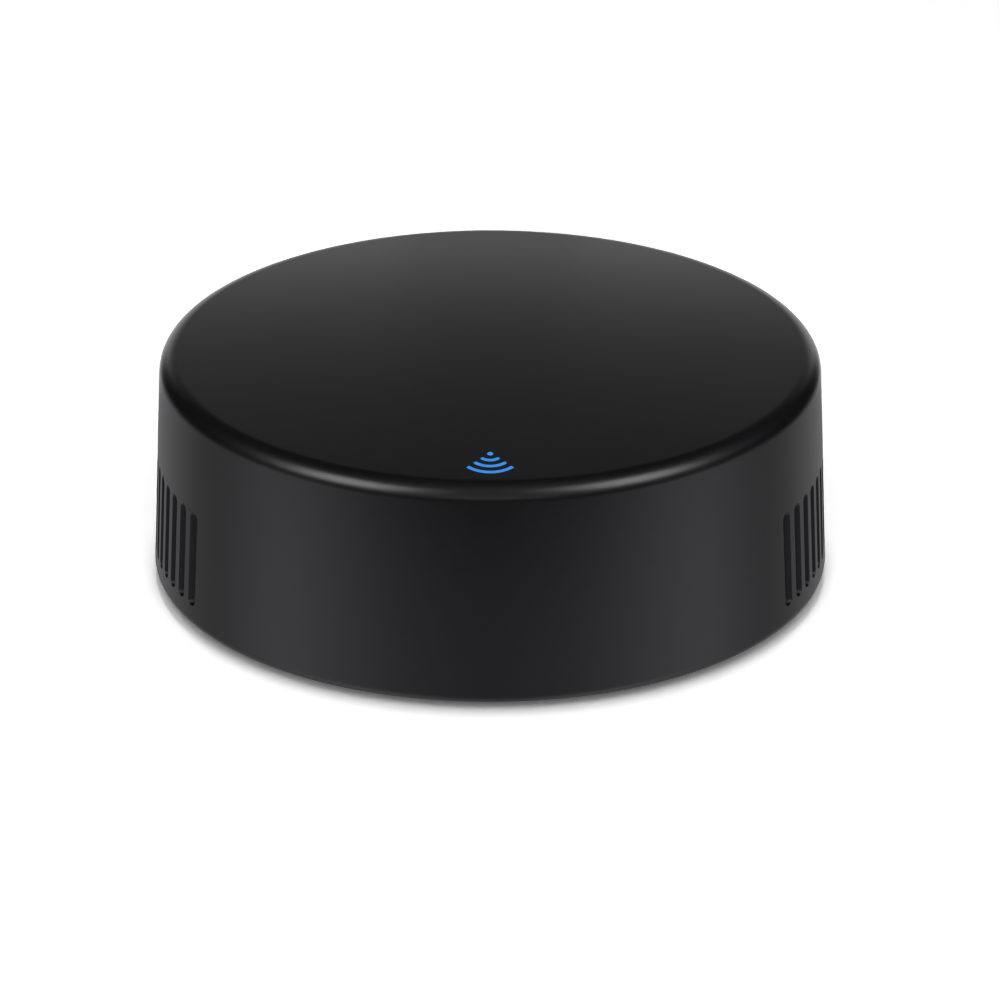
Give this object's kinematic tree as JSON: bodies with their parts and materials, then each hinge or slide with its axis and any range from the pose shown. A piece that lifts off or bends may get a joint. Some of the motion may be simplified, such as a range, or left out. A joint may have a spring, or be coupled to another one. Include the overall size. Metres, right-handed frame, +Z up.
{
  "type": "smart infrared blaster",
  "caption": "Round black smart-home infrared blaster hub with side air slots, a lit signal mark, a rear power socket and a reset button.",
  "frame": {"origin": "middle of the body's plan, on the surface that the four rubber feet stand on", "axes": "+Z up, +Y out of the back wall along the power socket, so the lit signal mark is towards -Y, +X to the right seen from the front"},
  "size_m": [0.066, 0.066, 0.0231],
  "materials": {
    "shell": "satin moulded black, passes infrared light",
    "base": "fine spark-textured moulded black",
    "foot_rubber": "matt black silicone rubber",
    "screw_steel": "plated steel, cross recess",
    "lit_guide": "translucent light guide, lit blue",
    "dark_plastic": "moulded black nylon",
    "circuit_board": "green solder mask over glass laminate",
    "module_board": "blue solder mask over glass laminate",
    "tin_plate": "tin-plated sheet and wire",
    "emitter_lens": "dark violet epoxy",
    "receiver_lens": "black infrared-passing epoxy",
    "lamp_body": "clear resin over white body",
    "contact_gold": "gold flash",
    "button_plastic": "satin moulded black",
    "can_aluminium": "drawn can",
    "chip_ceramic": "tan ceramic with matt surface"
  },
  "bodies": {
    "housing": {"top_cover": "shell", "base_cover": "base", "rubber_foot_1": "foot_rubber", "rubber_foot_2": "foot_rubber", "rubber_foot_3": "foot_rubber", "rubber_foot_4": "foot_rubber", "case_screws": "screw_steel", "light_guide": "lit_guide", "light_shroud": "dark_plastic", "main_board": "circuit_board", "board_screws": "screw_steel", "radio_module_board": "module_board", "radio_shield_can": "tin_plate", "ir_led_1": "emitter_lens", "ir_led_2": "emitter_lens", "ir_led_3": "emitter_lens", "ir_led_4": "emitter_lens", "ir_led_5": "emitter_lens", "ir_led_6": "emitter_lens", "ir_led_7": "emitter_lens", "ir_led_leads_1": "tin_plate", "ir_led_leads_2": "tin_plate", "ir_led_leads_3": "tin_plate", "ir_led_leads_4": "tin_plate", "ir_led_leads_5": "tin_plate", "ir_led_leads_6": "tin_plate", "ir_led_leads_7": "tin_plate", "ir_receiver": "receiver_lens", "ir_receiver_pins": "tin_plate", "signal_lamp": "lamp_body", "usb_shell": "tin_plate", "usb_tongue": "dark_plastic", "usb_contacts": "contact_gold", "reset_switch_body": "dark_plastic", "reset_switch_plate": "tin_plate", "reset_switch_pins": "tin_plate", "bulk_capacitor": "can_aluminium", "bulk_capacitor_seat": "dark_plastic", "voltage_regulator": "dark_plastic", "driver_transistor_1": "dark_plastic", "driver_transistor_2": "dark_plastic", "driver_transistor_3": "dark_plastic", "chip_feet": "tin_plate", "chip_resistors": "dark_plastic", "chip_capacitors": "chip_ceramic"},
    "button": {"reset_button": "button_plastic", "reset_plunger": "dark_plastic"}
  },
  "joints": [
    {"name": "reset_press", "type": "slide", "parent": "housing", "child": "button", "axis": [0, -1, 0], "range_m": [0, 0.0003], "stiffness_N_per_m": 1500, "springref_m": -0.0002}
  ]
}
